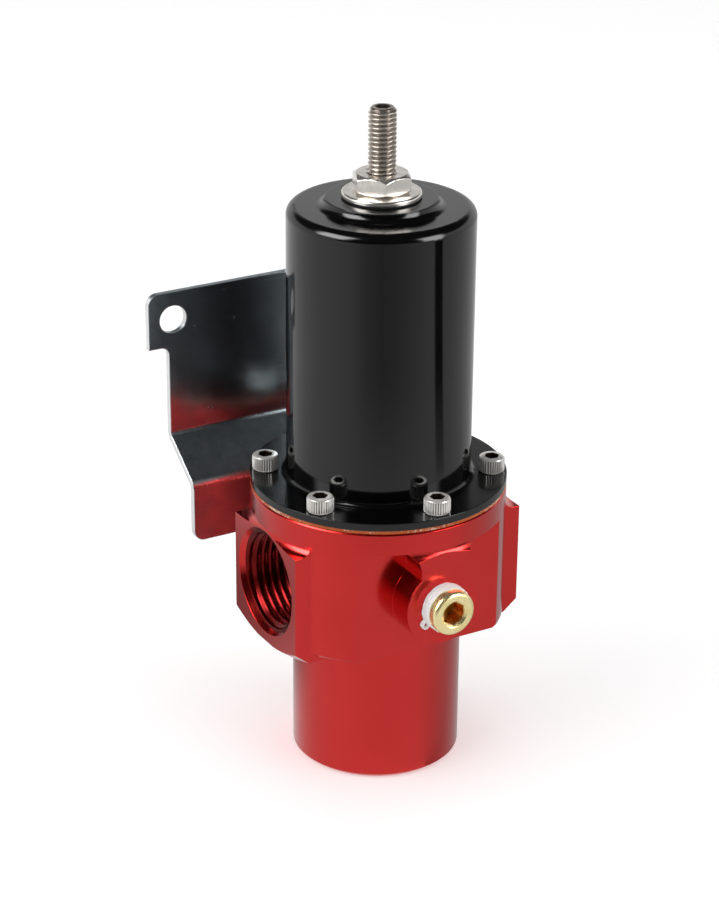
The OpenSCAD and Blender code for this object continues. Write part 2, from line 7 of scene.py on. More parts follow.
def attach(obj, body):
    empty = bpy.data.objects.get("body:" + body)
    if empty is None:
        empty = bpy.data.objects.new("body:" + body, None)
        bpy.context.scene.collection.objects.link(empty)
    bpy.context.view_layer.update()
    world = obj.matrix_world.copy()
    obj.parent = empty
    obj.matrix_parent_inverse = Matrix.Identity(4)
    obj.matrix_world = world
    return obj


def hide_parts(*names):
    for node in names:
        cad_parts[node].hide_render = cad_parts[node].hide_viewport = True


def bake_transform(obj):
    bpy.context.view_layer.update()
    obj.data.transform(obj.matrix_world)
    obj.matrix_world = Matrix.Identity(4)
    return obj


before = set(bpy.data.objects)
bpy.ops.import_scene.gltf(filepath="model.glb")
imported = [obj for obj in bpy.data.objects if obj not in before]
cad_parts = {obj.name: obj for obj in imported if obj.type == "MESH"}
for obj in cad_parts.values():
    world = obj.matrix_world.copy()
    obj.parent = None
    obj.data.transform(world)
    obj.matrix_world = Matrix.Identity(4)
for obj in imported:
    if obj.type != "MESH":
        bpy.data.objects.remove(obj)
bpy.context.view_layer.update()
scene = bpy.context.scene
scene.view_settings.view_transform = "Standard"
mm = 0.001
print("frame loaded,", len(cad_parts), "nodes")

# places on the solids that several pieces share, in mm
portHeight = 47.0
portFace = 28.675  # from the upright axis to the face of each block

cameraSetup = {"lens": 105.35, "sensor": 36, "clipFrom": 0.01, "turnDegrees": -30.0, "pitchDegrees": 24.065,
               "rollDegrees": 0.5206, "place": (-0.27041, -0.45991, 0.31099)}


def makeCamera(setup):
    turn, pitch, roll = (math.radians(setup[k]) for k in ("turnDegrees", "pitchDegrees", "rollDegrees"))
    side = Vector((math.cos(turn), math.sin(turn), 0))
    away = Vector((-math.sin(turn), math.cos(turn), 0))
    rise = Vector((0, 0, 1))
    forward = away * math.cos(pitch) - rise * math.sin(pitch)
    up = away * math.sin(pitch) + rise * math.cos(pitch)
    camX = side * math.cos(roll) + up * math.sin(roll)
    camY = up * math.cos(roll) - side * math.sin(roll)
    matrix = Matrix((camX, camY, -forward)).transposed().to_4x4()
    matrix.translation = Vector(setup["place"])
    camera = bpy.data.objects.new("photoCamera", bpy.data.cameras.new("photoCamera"))
    camera.data.lens = setup["lens"]
    camera.data.sensor_width = setup["sensor"]
    camera.data.clip_start = setup["clipFrom"]
    camera.matrix_world = matrix
    scene.collection.objects.link(camera)
    scene.camera = camera


makeCamera(cameraSetup)
print("camera set")


def srgb(red, green, blue):
    def linear(value):
        value /= 255
        return value / 12.92 if value <= 0.04045 else ((value + 0.055) / 1.055) ** 2.4
    return (linear(red), linear(green), linear(blue), 1.0)


def grey(level):
    return (level, level, level, 1.0)


def addNode(tree, kind, inputs=None, **settings):
    node = tree.nodes.new(kind)
    for key, value in settings.items():
        setattr(node, key, value)
    for key, value in (inputs or {}).items():
        if hasattr(value, "is_linked"):
            tree.links.new(value, node.inputs[key])
        else:
            node.inputs[key].default_value = value
    return node


def mathOut(tree, operation, first, second=0.0, clamp=False):
    node = addNode(tree, "ShaderNodeMath", {0: first, 1: second}, operation=operation, use_clamp=clamp)
    return node.outputs[0]


def vectorOut(tree, operation, first, second=(0, 0, 0)):
    node = addNode(tree, "ShaderNodeVectorMath", {0: first, 1: second}, operation=operation)
    return node.outputs["Vector" if operation == "SUBTRACT" else "Value"]


def greyOut(tree, level):
    return addNode(tree, "ShaderNodeCombineXYZ", {0: level, 1: level, 2: level}).outputs[0]


def mixOut(tree, factor, first, second):
    return addNode(tree, "ShaderNodeMix", {0: factor, 6: first, 7: second}, data_type="RGBA").outputs[2]


def noiseOut(tree, place, size, detail=3.0, rough=0.55):
    inputs = {"Vector": place, "Scale": 1 / (size * mm), "Detail": detail, "Roughness": rough}
    return addNode(tree, "ShaderNodeTexNoise", inputs).outputs[0]


def rangeOut(tree, value, low, high, toLow=0.0, toHigh=1.0, smooth=False):
    inputs = {"Value": value, "From Min": low, "From Max": high, "To Min": toLow, "To Max": toHigh}
    kind = "SMOOTHSTEP" if smooth else "LINEAR"
    return addNode(tree, "ShaderNodeMapRange", inputs, interpolation_type=kind).outputs[0]


noiseSpan = (0.3, 0.7)  # most of a noise texture's values lie between these


def spread(tree, value, low, high):
    return rangeOut(tree, value, *noiseSpan, low, high)


# radius from the turning axis and height along it, so cutter marks run round the part
def turnedPlace(tree, place, axis):
    split = addNode(tree, "ShaderNodeSeparateXYZ", {0: place}).outputs
    along = {"x": 0, "y": 1, "z": 2}[axis]
    first, second = [split[i] for i in range(3) if i != along]
    squares = [mathOut(tree, "MULTIPLY", side, side) for side in (first, second)]
    radius = mathOut(tree, "SQRT", mathOut(tree, "ADD", *squares))
    return addNode(tree, "ShaderNodeCombineXYZ", {0: radius, 1: split[along]}).outputs[0]


# one metal or moulded finish, with its tone, grain, cutter marks and softened edges painted brighter as a
# highlight
def makeFinish(name, look):
    material = bpy.data.materials.new(name)
    material.use_nodes = True
    tree = material.node_tree
    shader = tree.nodes["Principled BSDF"]
    shader.inputs["Metallic"].default_value = look["metallic"]
    shader.inputs["Specular IOR Level"].default_value = look.get("specular", 0.5)
    shader.inputs["Coat Weight"].default_value = look.get("coat", 0.0)
    shader.inputs["Coat Roughness"].default_value = look.get("coatRough", 0.1)
    place = addNode(tree, "ShaderNodeTexCoord").outputs["Object"]
    patch = noiseOut(tree, place, look["patch"])
    grain = noiseOut(tree, place, look["grain"], 2.0)
    axisPlace = [c * mm for c in look.get("axisPlace", (0, 0, 0))]
    shifted = vectorOut(tree, "SUBTRACT", place, axisPlace)
    turned = turnedPlace(tree, shifted, look.get("axis", "z"))
    marks = noiseOut(tree, turned, look["marks"], 2.0, 0.7)
    tone = mixOut(tree, spread(tree, patch, 0.0, 1.0), srgb(*look["colour"]), srgb(*look["tint"]))
    # painted shade: hollows found by the mesh's pointiness, such as a knurl's grooves, are mixed towards a
    # dark colour
    if "hollowShade" in look:
        point = addNode(tree, "ShaderNodeNewGeometry").outputs["Pointiness"]
        tone = mixOut(tree, rangeOut(tree, point, *look["hollowShade"]), srgb(*look["hollowShadeColour"]), tone)
    if "speckColour" in look:
        specks = rangeOut(tree, noiseOut(tree, place, look["speck"], 1.0), *look["speckFrom"])
        tone = mixOut(tree, specks, tone, srgb(*look["speckColour"]))
    # painted shade: inside the given radius from the turning axis the tone turns to a darker colour, as in
    # thread roots and a socket
    if "groove" in look:
        radius = addNode(tree, "ShaderNodeSeparateXYZ", {0: turned}).outputs[0]
        high = rangeOut(tree, radius, *(r * mm for r in look["groove"]))
        tone = mixOut(tree, high, srgb(*look["grooveColour"]), tone)
    bevel = addNode(tree, "ShaderNodeBevel", {"Radius": look["edge"] * mm}, samples=6).outputs[0]
    normal = addNode(tree, "ShaderNodeNewGeometry").outputs["Normal"]
    facing = vectorOut(tree, "DOT_PRODUCT", bevel, normal)
    # painted highlight: wherever the rounded normal bends away, at convex and concave edges alike, the tone
    # is mixed towards a lighter edge colour
    edge = mathOut(tree, "MULTIPLY", mathOut(tree, "SUBTRACT", 1.0, facing), look["edgeHighlightGain"], True)
    tone = mixOut(tree, edge, tone, srgb(*look["edgeHighlightColour"]))
    facingSplit = addNode(tree, "ShaderNodeSeparateXYZ", {0: normal}).outputs
    # faces turned towards plus or minus X are made whiter and less metallic
    if "xFacingColour" in look:
        cut = rangeOut(tree, mathOut(tree, "ABSOLUTE", facingSplit[0]), *look["xFacingRange"])
        tone = mixOut(tree, cut, tone, srgb(*look["xFacingColour"]))
        metal = rangeOut(tree, cut, 0.0, 1.0, look["metallic"], look["xFacingMetallic"])
        tree.links.new(metal, shader.inputs["Metallic"])
    tree.links.new(tone, shader.inputs["Base Color"])
    blotch = mathOut(tree, "MULTIPLY", mathOut(tree, "ADD", patch, marks), 0.5)
    rough = spread(tree, blotch, look["rough"] - look["roughSpread"], look["rough"] + look["roughSpread"])
    if "levelRough" in look:
        level = mathOut(tree, "MULTIPLY", mathOut(tree, "ABSOLUTE", facingSplit[2]), look["levelRough"])
        rough = mathOut(tree, "ADD", rough, level)
    tree.links.new(rough, shader.inputs["Roughness"])
    height = mathOut(tree, "ADD", mathOut(tree, "MULTIPLY", grain, look["grainHeight"]),
                     mathOut(tree, "MULTIPLY", marks, look["marksHeight"]))
    bump = addNode(tree, "ShaderNodeBump", {"Height": height, "Distance": mm, "Normal": bevel})
    tree.links.new(bump.outputs[0], shader.inputs["Normal"])
    return material


redAnodised = makeFinish("redAnodised", {
    "colour": (212, 34, 29), "tint": (206, 30, 26), "metallic": 0.95,
    "rough": 0.19, "roughSpread": 0.02, "patch": 12,
    "grain": 0.12, "grainHeight": 0.0002, "marks": 0.35, "marksHeight": 0.0003, "edge": 0.2, "edgeHighlightGain": 0.25,
    "edgeHighlightColour": (232, 120, 112), "coat": 0.6, "coatRough": 0.16})
blackAnodised = makeFinish("blackAnodised", {
    "colour": (5, 5, 6), "tint": (8, 8, 9), "metallic": 0.0,
    "rough": 0.09, "roughSpread": 0.015, "patch": 14,
    "grain": 0.1, "grainHeight": 0.0002, "marks": 0.5, "marksHeight": 0.0002, "edge": 0.3, "edgeHighlightGain": 0.3,
    "edgeHighlightColour": (60, 60, 64), "levelRough": 0.09})
stainless = makeFinish("stainless", {
    "colour": (238, 234, 228), "tint": (222, 217, 210), "metallic": 0.9,
    "rough": 0.24, "roughSpread": 0.05, "patch": 2.5,
    "grain": 0.15, "grainHeight": 0.001, "marks": 0.2, "marksHeight": 0.0012, "edge": 0.15, "edgeHighlightGain": 1.2,
    "edgeHighlightColour": (250, 248, 244)})
# knurled steel, with painted shade in the knurl's grooves
knurledSteel = makeFinish("knurledSteel", {
    "colour": (252, 250, 246), "tint": (240, 237, 231), "metallic": 0.5,
    "rough": 0.16, "roughSpread": 0.05, "patch": 2.5,
    "grain": 0.15, "grainHeight": 0.0008, "marks": 0.2, "marksHeight": 0.0008, "edge": 0.1, "edgeHighlightGain": 0.8,
    "edgeHighlightColour": (252, 250, 248), "hollowShade": (0.43, 0.5), "hollowShadeColour": (20, 18, 16)})
# a shaded copy of the screws' steel: painted shade that darkens the cap screws' sockets
shadedSocket = makeFinish("shadedSocket", {
    "colour": (66, 58, 50), "tint": (44, 38, 34), "metallic": 0.6,
    "rough": 0.3, "roughSpread": 0.06, "patch": 1.2,
    "grain": 0.12, "grainHeight": 0.0008, "marks": 0.2, "marksHeight": 0.0008, "edge": 0.08, "edgeHighlightGain": 0.6,
    "edgeHighlightColour": (150, 142, 132)})
# a darker, shaded copy of the red anodising for the port threads: painted shade inside the bores
shadedRedBore = makeFinish("shadedRedBore", {
    "colour": (118, 15, 16), "tint": (96, 11, 13), "metallic": 0.9,
    "rough": 0.22, "roughSpread": 0.04, "patch": 4,
    "grain": 0.12, "grainHeight": 0.0004, "marks": 0.3, "marksHeight": 0.0006, "edge": 0.08, "edgeHighlightGain": 0.8,
    "edgeHighlightColour": (214, 92, 84)})
# thread steel, with painted shade in the thread roots and the socket
threadSteel = makeFinish("threadSteel", {
    "colour": (238, 231, 222), "tint": (226, 217, 207), "metallic": 0.85,
    "rough": 0.22, "roughSpread": 0.04, "patch": 2.5,
    "grain": 0.15, "grainHeight": 0.0004, "marks": 0.2, "marksHeight": 0.0004, "edge": 0.08, "edgeHighlightGain": 0.8,
    "edgeHighlightColour": (250, 246, 240), "groove": (2.5, 2.98), "grooveColour": (150, 140, 132)})
zincPlate = makeFinish("zincPlate", {
    "colour": (190, 200, 206), "tint": (166, 176, 182), "metallic": 1.0,
    "rough": 0.23, "roughSpread": 0.05, "patch": 3,
    "grain": 0.25, "grainHeight": 0.0016, "marks": 1.5, "marksHeight": 0.0008, "edge": 0.35, "edgeHighlightGain": 2.0,
    "edgeHighlightColour": (244, 246, 247), "speck": 0.5, "speckFrom": (0.7, 0.78), "speckColour": (238, 242, 244),
    "xFacingRange": (0.6, 0.8), "xFacingColour": (250, 250, 250), "xFacingMetallic": 0.1, "levelRough": 0.16})
plainAluminium = makeFinish("plainAluminium", {
    "colour": (206, 208, 210), "tint": (186, 188, 192), "metallic": 1.0,
    "rough": 0.34, "roughSpread": 0.06, "patch": 4,
    "grain": 0.15, "grainHeight": 0.004, "marks": 0.18, "marksHeight": 0.008, "edge": 0.2, "edgeHighlightGain": 1.2,
    "edgeHighlightColour": (238, 238, 240)})
springSteel = makeFinish("springSteel", {
    "colour": (108, 104, 100), "tint": (74, 72, 72), "metallic": 1.0,
    "rough": 0.36, "roughSpread": 0.1, "patch": 1.6,
    "grain": 0.2, "grainHeight": 0.006, "marks": 0.4, "marksHeight": 0.004, "edge": 0.1, "edgeHighlightGain": 0.6,
    "edgeHighlightColour": (168, 164, 160)})
turnedBrass = makeFinish("turnedBrass", {
    "colour": (214, 176, 98), "tint": (188, 148, 74), "metallic": 1.0,
    "rough": 0.26, "roughSpread": 0.06, "patch": 3,
    "grain": 0.15, "grainHeight": 0.004, "marks": 0.16, "marksHeight": 0.008, "edge": 0.15, "edgeHighlightGain": 1.2,
    "edgeHighlightColour": (244, 224, 170)})
# gold plug, with a painted deep amber shade inside its socket
goldPlug = makeFinish("goldPlug", {
    "colour": (255, 241, 186), "tint": (248, 228, 160), "metallic": 0.85,
    "rough": 0.26, "roughSpread": 0.05, "patch": 2,
    "grain": 0.12, "grainHeight": 0.0012, "marks": 0.22, "marksHeight": 0.002, "edge": 0.2, "edgeHighlightGain": 1.0,
    "edgeHighlightColour": (252, 246, 214), "axis": "y", "axisPlace": (0, 0, portHeight), "groove": (2.35, 2.85),
    "grooveColour": (206, 128, 22)})
blackRubber = makeFinish("blackRubber", {
    "colour": (24, 24, 25), "tint": (36, 36, 37), "metallic": 0.0,
    "rough": 0.6, "roughSpread": 0.1, "patch": 1.5,
    "grain": 0.08, "grainHeight": 0.01, "marks": 0.5, "marksHeight": 0.004, "edge": 0.15, "edgeHighlightGain": 0.5,
    "edgeHighlightColour": (60, 60, 62), "specular": 0.35})
print("metal and rubber finishes made")


# rubbered cloth: orange with pale flecks of thread and a fine weave
def makeCloth(look):
    material = bpy.data.materials.new("diaphragmCloth")
    material.use_nodes = True
    tree = material.node_tree
    shader = tree.nodes["Principled BSDF"]
    shader.inputs["Roughness"].default_value = look["rough"]
    shader.inputs["Specular IOR Level"].default_value = look["specular"]
    place = addNode(tree, "ShaderNodeTexCoord").outputs["Object"]
    split = addNode(tree, "ShaderNodeSeparateXYZ", {0: place}).outputs
    patch = noiseOut(tree, place, look["patch"])
    runs = spread(tree, noiseOut(tree, place, look["fleckRun"]), *look["fleckGain"])
    flecks = mathOut(tree, "MULTIPLY", noiseOut(tree, place, look["fleck"], 2.0, 0.7), runs)
    fleckMask = rangeOut(tree, flecks, *look["fleckFrom"])
    tone = mixOut(tree, spread(tree, patch, 0.0, 1.0), srgb(*look["colour"]), srgb(*look["tint"]))
    tree.links.new(mixOut(tree, fleckMask, tone, srgb(*look["fleckColour"])), shader.inputs["Base Color"])
    waves = 2 * math.pi / (look["weave"] * mm)
    warp, weft = (mathOut(tree, "SINE", mathOut(tree, "MULTIPLY", split[i], waves)) for i in (0, 1))
    height = mathOut(tree, "MULTIPLY", mathOut(tree, "MULTIPLY", warp, weft), look["weaveHeight"])
    bump = addNode(tree, "ShaderNodeBump", {"Height": height, "Distance": mm})
    tree.links.new(bump.outputs[0], shader.inputs["Normal"])
    return material


diaphragmCloth = makeCloth({
    "colour": (206, 104, 44), "tint": (178, 80, 30), "patch": 3, "rough": 0.62, "specular": 0.3,
    "fleck": 0.55, "fleckRun": 14, "fleckGain": (0.6, 1.15), "fleckFrom": (0.49, 0.55),
    "fleckColour": (236, 214, 190), "weave": 0.5, "weaveHeight": 0.03})


# thin sealing tape: white, with light passing a little way into it, folds and drawn streaks, and a faint
# painted glow of its own
def makeTape(look):
    material = bpy.data.materials.new("sealingTape")
    material.use_nodes = True
    tree = material.node_tree
    shader = tree.nodes["Principled BSDF"]
    shader.inputs["Specular IOR Level"].default_value = look["specular"]
    shader.inputs["Subsurface Weight"].default_value = look["inside"]
    shader.inputs["Subsurface Scale"].default_value = look["insideDepth"] * mm
    # painted light: a faint white emission brightens the tape
    shader.inputs["Emission Color"].default_value = (1, 1, 1, 1)
    shader.inputs["Emission Strength"].default_value = look["glow"]
    place = addNode(tree, "ShaderNodeTexCoord").outputs["Object"]
    streak = noiseOut(tree, turnedPlace(tree, place, "y"), look["streak"], 3.0)
    fold = noiseOut(tree, place, look["fold"])
    tone = mixOut(tree, spread(tree, streak, 0.0, 1.0), srgb(*look["colour"]), srgb(*look["shade"]))
    tree.links.new(tone, shader.inputs["Base Color"])
    tree.links.new(spread(tree, fold, *look["rough"]), shader.inputs["Roughness"])
    height = mathOut(tree, "ADD", mathOut(tree, "MULTIPLY", fold, look["foldHeight"]),
                     mathOut(tree, "MULTIPLY", streak, look["streakHeight"]))
    bump = addNode(tree, "ShaderNodeBump", {"Height": height, "Distance": mm})
    tree.links.new(bump.outputs[0], shader.inputs["Normal"])
    return material


sealingTape = makeTape({
    "colour": (246, 246, 244), "shade": (236, 236, 235), "rough": (0.35, 0.6), "specular": 0.4,
    "inside": 0.15, "insideDepth": 0.6, "glow": 0.12,
    "streak": 0.22, "streakHeight": 0.04, "fold": 0.8, "foldHeight": 0.12})
print("cloth and tape finishes made")

nodeFinishes = {
    "body": redAnodised, "bonnet": blackAnodised, "bracket": zincPlate, "spring": springSteel,
    "lower_plate": plainAluminium, "upper_plate": plainAluminium, "spring_cap": plainAluminium,
    "valve": stainless, "stack_nut": stainless, "jam_nut": stainless, "seal_washer": stainless,
    "cap_screws": stainless, "bracket_screws": stainless, "bracket_washers": stainless,
    "adjusting_screw": threadSteel, "valve_seat": turnedBrass, "gauge_plug": goldPlug,
    "thread_tape": sealingTape, "diaphragm": diaphragmCloth, "seat_seal": blackRubber,
    "washer_seal": blackRubber}
for nodeName, finish in nodeFinishes.items():
    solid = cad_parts[nodeName]
    if not solid.material_slots:
        solid.data.materials.append(finish)
    for materialSlot in solid.material_slots:
        materialSlot.material = finish
print("solids dressed")


# radius is a number, or a function of the angle
def ringOf(count, radius, height, turn=0.0):
    reach = radius if callable(radius) else lambda a: radius
    return [(reach(a) * math.cos(a + turn), reach(a) * math.sin(a + turn), height)
            for a in (2 * math.pi * i / count for i in range(count))]


def hexRadius(across):
    def radius(angle):
        sector = (angle + math.pi / 6) % (math.pi / 3) - math.pi / 6
        return across / 2 / math.cos(sector)
    return radius


# quads between one ring and the next, with the ends closed where asked
def loftRings(rings, closeStart=True, closeEnd=True):
    count = len(rings[0])
    points = [point for ring in rings for point in ring]
    faces = []
    for row in range(len(rings) - 1):
        for i in range(count):
            k = (i + 1) % count
            faces.append((row * count + i, row * count + k, (row + 1) * count + k, (row + 1) * count + i))
    if closeStart:
        faces.append(tuple(range(count - 1, -1, -1)))
    if closeEnd:
        faces.append(tuple((len(rings) - 1) * count + i for i in range(count)))
    return points, faces


mergeGap = 0.00002  # mm, for points that coincide
thinEdge = 0.0005  # mm, for faces that have collapsed


# a piece without a body is left unattached
def addPiece(name, parts, finish, body, matrix=None, sharpDegrees=32):
    mesh = bpy.data.meshes.new(name)
    build = bmesh.new()
    for points, faces in parts:
        verts = [build.verts.new(Vector(p) * mm) for p in points]
        for face in faces:
            build.faces.new([verts[i] for i in face])
    bmesh.ops.remove_doubles(build, verts=build.verts, dist=mergeGap * mm)
    bmesh.ops.dissolve_degenerate(build, edges=build.edges, dist=thinEdge * mm)
    bmesh.ops.recalc_face_normals(build, faces=build.faces)
    if matrix:
        build.transform(matrix)
    build.to_mesh(mesh)
    build.free()
    mesh.materials.append(finish)
    mesh.shade_smooth()
    mesh.set_sharp_from_angle(angle=math.radians(sharpDegrees))
    piece = bpy.data.objects.new(name, mesh)
    scene.collection.objects.link(piece)
    if body:
        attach(piece, body)
    return piece


# height of a thread's flank between its root (0) and its crest (1), over one pitch
def threadShape(turnPart, crestPart=0.16, rootPart=0.2):
    flank = (1 - crestPart - rootPart) / 2
    part = turnPart % 1.0
    if part < rootPart:
        return 0.0
    if part < rootPart + flank:
        return (part - rootPart) / flank
    if part < rootPart + flank + crestPart:
        return 1.0
    return (1 - part) / flank


screwLook = {"crest": 3.1, "root": 2.46, "pitch": 1.0, "tip": 115.4, "top": 151.7, "chamfer": 0.775,
             "threadFrom": 122.0, "runOut": 1.5, "tipRadius": 0.05, "hexAcross": 3.18, "hexDepth": 3.1,
             "floorRadius": 0.3, "floorDrop": 0.6, "sides": 80, "rowsPerPitch": 14}


# each row of points climbs one pitch round the screw, so that crest and root stay even
def makeAdjustingScrew(look):
    sides, perPitch, tip, top = look["sides"], look["rowsPerPitch"], look["tip"], look["top"]
    crest, inner = look["crest"], look["crest"] - look["chamfer"]
    rows = int((top - tip + 2 * look["pitch"]) / look["pitch"] * perPitch)
    points, faces = [], []
    for row in range(rows + 1):
        shape = threadShape(row / perPitch)
        for i in range(sides):
            a = 2 * math.pi * i / sides
            height = tip + look["pitch"] * (row / perPitch - 1 + i / sides)
            runOut = min(1.0, max(0.0, (height - look["threadFrom"]) / look["runOut"]))
            height = min(top, max(tip, height))
            radius = crest - (crest - look["root"]) * (1 - shape) * runOut
            radius = min(radius, max(look["tipRadius"], height - tip), inner + (top - height))
            points.append((radius * math.cos(a), radius * math.sin(a), height))
    for row in range(rows):
        for i in range(sides):
            after = (row * sides + i + 1, (row + 1) * sides + i + 1)
            if i == sides - 1:
                if row + perPitch >= rows:
                    continue
                after = ((row + perPitch) * sides, (row + perPitch + 1) * sides)
            faces.append((row * sides + i, after[0], after[1], (row + 1) * sides + i))
    socket = hexRadius(look["hexAcross"])
    floor = top - look["hexDepth"]
    rings = [ringOf(sides, inner, top), ringOf(sides, socket, top), ringOf(sides, socket, floor),
             ringOf(sides, look["floorRadius"], floor - look["floorDrop"])]
    parts = [(points, faces), loftRings(rings, False)]
    piece = addPiece("threadedAdjuster", parts, threadSteel, "adjusting_screw")
    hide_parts("adjusting_screw")


makeAdjustingScrew(screwLook)
print("adjusting screw threaded")

nutLook = {"across": 11.6, "low": 133.3, "tall": 4.1, "bore": 3.13, "boreChamfer": 0.4, "cornerDegrees": 8.6,
           "faceRadius": 5.45, "slope": 1.6, "coneStep": 0.16, "coneRings": 7, "sides": 120}


# hex nut with both ends turned to a cone, which leaves the curved arcs on its flats
def makeNut(look):
    flats = hexRadius(look["across"])
    turn = math.radians(look["cornerDegrees"] - 30)
    tall, bore, ease = look["tall"], look["bore"], look["boreChamfer"]
    lows = [look["coneStep"] * i for i in range(look["coneRings"])]
    rings = []
    for height in lows + [tall - low for low in reversed(lows)]:
        cone = look["faceRadius"] + look["slope"] * min(height, tall - height)

        def coned(a, cone=cone):
            return min(flats(a), cone)
        rings.append(ringOf(look["sides"], coned, look["low"] + height, turn))
    for radius, height in ((bore + ease, tall), (bore, tall - ease), (bore, ease), (bore + ease, 0)):
        rings.append(ringOf(look["sides"], radius, look["low"] + height, turn))
    rings.append(rings[0])
    parts = [loftRings(rings, False, False)]
    piece = addPiece("conedNut", parts, stainless, "jam_nut", sharpDegrees=18)
    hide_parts("jam_nut")


makeNut(nutLook)
print("jam nut coned")

# an inset is taken off a radius, and a drop off a height
capScrewLook = {
    "count": 6, "circle": 25.125, "firstDegrees": -90, "turnDegrees": (4, 17, 29, 11, 23, 8), "seat": 68.2,
    "headRadius": 2.95, "headHeight": 3.5, "rim": 0.4, "footInset": 0.35, "plainInset": 0.13,
    "plainFrom": 0.22, "lipInset": 0.22, "lipShare": 0.45, "crownInset": 0.5, "crownDrop": 0.03,
    "flatInset": 0.62,
    "teeth": 30, "toothDepth": 0.44, "knurlFrom": 0.34, "knurlGap": 0.1, "sidesPerTooth": 4,
    "hexAcross": 2.8, "hexDepth": 1.75, "hexEase": 0.12, "floorRadius": 0.25, "floorDrop": 0.45,
    "shankRadius": 1.7, "shankLength": 12.0, "tipInset": 0.25, "tipLength": 0.3}


# radius and height of each ring of points, from the shank's tip to the socket's mouth and on to its floor
def capScrewProfile(look):
    head, tall, rim = look["headRadius"], look["headHeight"], look["rim"]
    shank, tip, deep = look["shankRadius"], -look["shankLength"], tall - look["hexDepth"]
    plain = head - look["plainInset"]
    socket = hexRadius(look["hexAcross"])

    def knurled(a):
        wave = abs(((a * look["teeth"] / (2 * math.pi)) % 1.0) * 2 - 1)
        return head - look["toothDepth"] * wave

    def mouth(a):
        return socket(a) + look["hexEase"]
    outside = [
        (shank - look["tipInset"], tip), (shank, tip + look["tipLength"]), (shank, 0.0),
        (head - look["footInset"], 0.0), (plain, look["plainFrom"]), (knurled, look["knurlFrom"]),
        (knurled, tall - rim - look["knurlGap"]), (plain, tall - rim),
        (head - look["lipInset"], tall - rim * look["lipShare"]),
        (head - look["crownInset"], tall - look["crownDrop"]), (head - look["flatInset"], tall),
        (mouth, tall)]
    inside = [(mouth, tall), (socket, tall - look["hexEase"]), (socket, deep),
              (look["floorRadius"], deep - look["floorDrop"])]
    return outside, inside


def makeCapScrews(look):
    heads, sockets = [], []
    outside, inside = capScrewProfile(look)
    for number in range(look["count"]):
        around = math.radians(look["firstDegrees"] + number * 360 / look["count"])
        spin = math.radians(look["turnDegrees"][number])
        shiftX, shiftY = look["circle"] * math.cos(around), look["circle"] * math.sin(around)

        def placed(steps):
            sides = look["teeth"] * look["sidesPerTooth"]
            rings = [ringOf(sides, radius, look["seat"] + height, spin) for radius, height in steps]
            return [[(x + shiftX, y + shiftY, z) for x, y, z in ring] for ring in rings]
        heads.append(loftRings(placed(outside), True, False))
        sockets.append(loftRings(placed(inside), False, True))
    # the sockets take the painted shade finish
    pieces = (("knurledCapScrews", heads, knurledSteel), ("capScrewSockets", sockets, shadedSocket))
    for name, parts, finish in pieces:
        piece = addPiece(name, parts, finish, "regulator", sharpDegrees=28)
        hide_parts("cap_screws")


makeCapScrews(capScrewLook)
print("cap screws knurled")

inletThread = {"from": 1.3, "mouth": 11.72, "to": 16.6, "root": 11.06, "crest": 10.2, "pitch": 1.814}
portThreadLook = {
    "leftInlet": {"place": (-portFace, 0, portHeight), "inward": (1, 0, 0), **inletThread},
    "rightInlet": {"place": (portFace, 0, portHeight), "inward": (-1, 0, 0), **inletThread},
    "returnPort": {"place": (0, 0, 0), "inward": (0, 0, 1), **inletThread}}
referenceThreadLook = {"place": (20.5, 0, 96.5), "inward": (-1, 0, 0), "from": 0.4, "mouth": 4.32, "to": 6.2,
                       "root": 4.32, "crest": 3.9, "pitch": 0.94}
threadSides = 112
threadRows = 10  # rows of points in one pitch
threadLip = 0.05  # mm that the thread's first ring lies before its start
threadFade = 1.2  # mm over which the thread runs in and out
threadFlat = 0.14  # share of the pitch at crest and at root


# a cut thread inside a port, with its first and last turns fading into the bore
def makePortThread(name, look, finish):
    rows = int((look["to"] - look["from"]) / look["pitch"] * threadRows)
    rings = [ringOf(threadSides, look["mouth"], look["from"] - threadLip)]
    for row in range(rows + 1):
        depth = look["from"] + (look["to"] - look["from"]) * row / rows
        fade = min(1.0, (depth - look["from"]) / threadFade, (look["to"] - depth) / threadFade)

        def radius(angle, depth=depth, fade=fade):
            shape = threadShape(depth / look["pitch"] - angle / (2 * math.pi), threadFlat, threadFlat)
            return look["root"] - (look["root"] - look["crest"]) * shape * max(0.0, fade)
        rings.append(ringOf(threadSides, radius, depth))
    turn = Vector((0, 0, 1)).rotation_difference(Vector(look["inward"])).to_matrix().to_4x4()
    matrix = Matrix.Translation(Vector(look["place"]) * mm) @ turn
    addPiece(name + "Thread", [loftRings(rings, False, False)], finish, "regulator", matrix)


for portName, portLook in portThreadLook.items():
    makePortThread(portName, portLook, shadedRedBore)
makePortThread("referencePort", referenceThreadLook, blackAnodised)
print("port threads cut")

plugLook = {
    "place": (0, -portFace, portHeight), "radius": 5.1, "stand": 4.8, "inside": 6.2, "tipInset": 0.6,
    "tipLength": 0.5, "threadInset": 0.12, "seatInset": 0.03, "shoulder": 0.9, "shoulderSteps": 5,
    "mouth": 3.1, "mouthEase": (0.1, 0.06), "mouthDepth": 0.55, "hexAcross": 4.76, "hexDepth": 4.6,
    "floorRadius": 0.3, "floorDrop": 0.8, "sides": 96}
tapeLook = {
    "place": plugLook["place"], "inner": 5.12, "gap": 0.02, "thick": 0.2, "thickFoot": 1.1, "thickLoss": 0.6,
    "width": 3.2, "widthShare": 0.88, "ruffle": 0.25, "ruffleSize": 1.8, "seed": 3.7,
    "bulge": 0.8, "bulgeScale": 2.3, "lean": 0.25, "leanScale": 4.1, "foot": 0.12, "flare": 0.1,
    "flareShare": 3.5, "topGap": 0.01, "topRise": 1.01, "pitch": 0.94, "ridge": 0.14, "sides": 180,
    "rows": 18}
